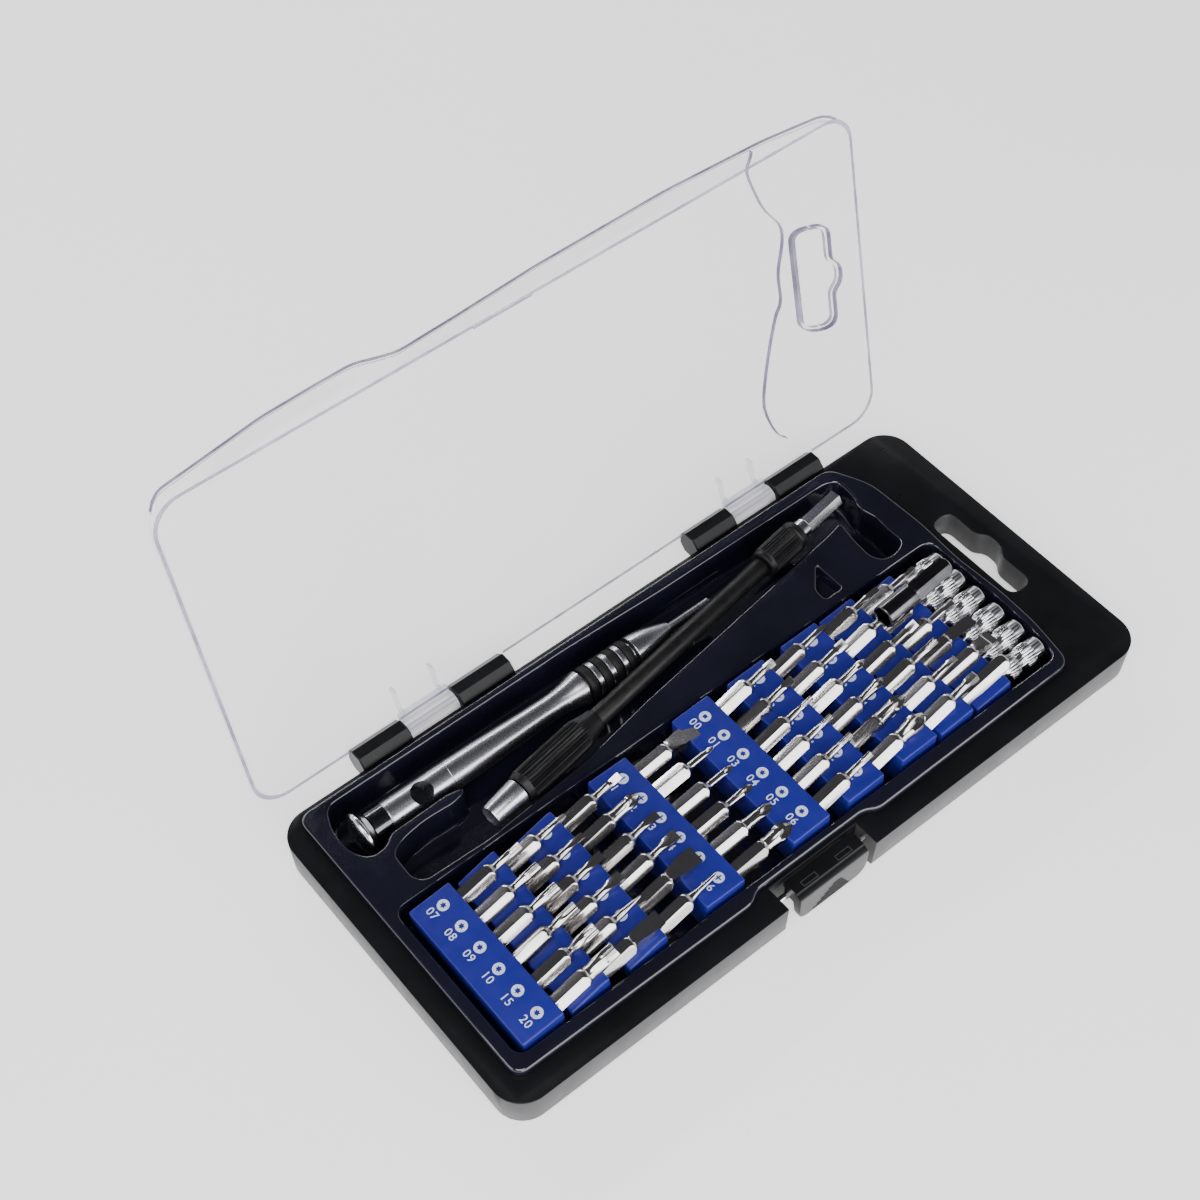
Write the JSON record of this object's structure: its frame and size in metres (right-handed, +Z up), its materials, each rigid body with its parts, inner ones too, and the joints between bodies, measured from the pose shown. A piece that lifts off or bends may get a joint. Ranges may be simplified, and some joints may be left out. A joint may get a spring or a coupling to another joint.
{
  "type": "precision screwdriver set",
  "caption": "Hinged pocket case with a clear lid, open, holding slim screwdriver bits in angled bars, nut drivers, a slim driver with a swivel cap, an extension and an adapter.",
  "frame": {"origin": "centre of the flat underside of the base", "axes": "+X along the case towards the hang slot, +Y from the latch to the hinge, +Z up"},
  "size_m": [0.185, 0.1241, 0.0955],
  "materials": {
    "black_plastic": "satin moulded",
    "tray_plastic": "glossy vacuum-formed sheet",
    "blue_plastic": "satin moulded",
    "clear_plastic": "clear polished",
    "grip_plastic": "satin black",
    "rubber": "matte",
    "steel": "nickel-plated steel",
    "satin_steel": "satin turned",
    "chrome": "polished chrome",
    "dark_metal": "dark polished"
  },
  "bodies": {
    "root": {"base_shell": "black_plastic", "tray_insert": "tray_plastic", "latch_pin": "steel", "hinge_pin_left": "steel", "hinge_pin_right": "steel", "bit_holder_1": "blue_plastic", "bit_holder_2": "blue_plastic", "bit_holder_3": "blue_plastic", "bit_holder_4": "blue_plastic", "bit_holder_5": "blue_plastic", "bit_holder_6": "blue_plastic", "bit_holder_7": "blue_plastic", "bit_holder_8": "blue_plastic", "bit_holder_9": "blue_plastic", "bit_1_1": "steel", "bit_1_2": "steel", "bit_1_3": "steel", "bit_1_4": "steel", "bit_1_5": "steel", "bit_1_6": "steel", "bit_4_1": "steel", "bit_4_2": "steel", "bit_4_3": "steel", "bit_4_4": "steel", "bit_4_5": "steel", "bit_4_6": "steel", "bit_5_1": "steel", "bit_5_2": "steel", "bit_5_3": "steel", "bit_5_4": "steel", "bit_5_5": "steel", "bit_5_6": "steel", "bit_8_1": "steel", "bit_8_2": "steel", "bit_8_3": "steel", "bit_8_4": "steel", "bit_8_5": "steel", "bit_8_6": "steel", "nut_socket_1": "chrome", "nut_socket_2": "chrome", "nut_socket_3": "chrome", "nut_socket_4": "chrome", "nut_socket_5": "chrome", "nut_socket_6": "chrome"},
    "lid": {"lid": "clear_plastic"},
    "latch": {"latch": "black_plastic"},
    "driver": {"driver_barrel": "satin_steel", "driver_nose": "satin_steel", "driver_o_ring_1": "rubber", "driver_o_ring_2": "rubber", "driver_o_ring_3": "rubber", "driver_o_ring_4": "rubber"},
    "driver_cap": {"driver_swivel_cap": "chrome"},
    "extension": {"extension_socket": "satin_steel", "extension_grip": "grip_plastic", "extension_shaft": "grip_plastic", "extension_collar": "grip_plastic", "extension_hex_drive": "chrome"},
    "adapter": {"adapter_body": "dark_metal", "adapter_hex": "dark_metal"}
  },
  "joints": [
    {"name": "lid_hinge", "type": "hinge", "parent": "root", "child": "lid", "pos_m": [0, 0.04585, 0.00919], "axis": [1, 0, 0], "range_deg": [0, 103.5]},
    {"name": "latch_pivot", "type": "hinge", "parent": "root", "child": "latch", "pos_m": [0, -0.039, 0.0071], "axis": [-1, 0, 0], "range_deg": [0, 8]},
    {"name": "driver_lift", "type": "slide", "parent": "root", "child": "driver", "axis": [0, 0, 1], "range_m": [0, 0.06]},
    {"name": "cap_spin", "type": "hinge", "parent": "driver", "child": "driver_cap", "pos_m": [-0.078, 0.0303, 0.009], "axis": [1, 0, 0], "continuous": true},
    {"name": "extension_lift", "type": "slide", "parent": "root", "child": "extension", "axis": [0, 0, 1], "range_m": [0, 0.06]},
    {"name": "adapter_lift", "type": "slide", "parent": "root", "child": "adapter", "axis": [0, 0, 1], "range_m": [0, 0.06]}
  ]
}
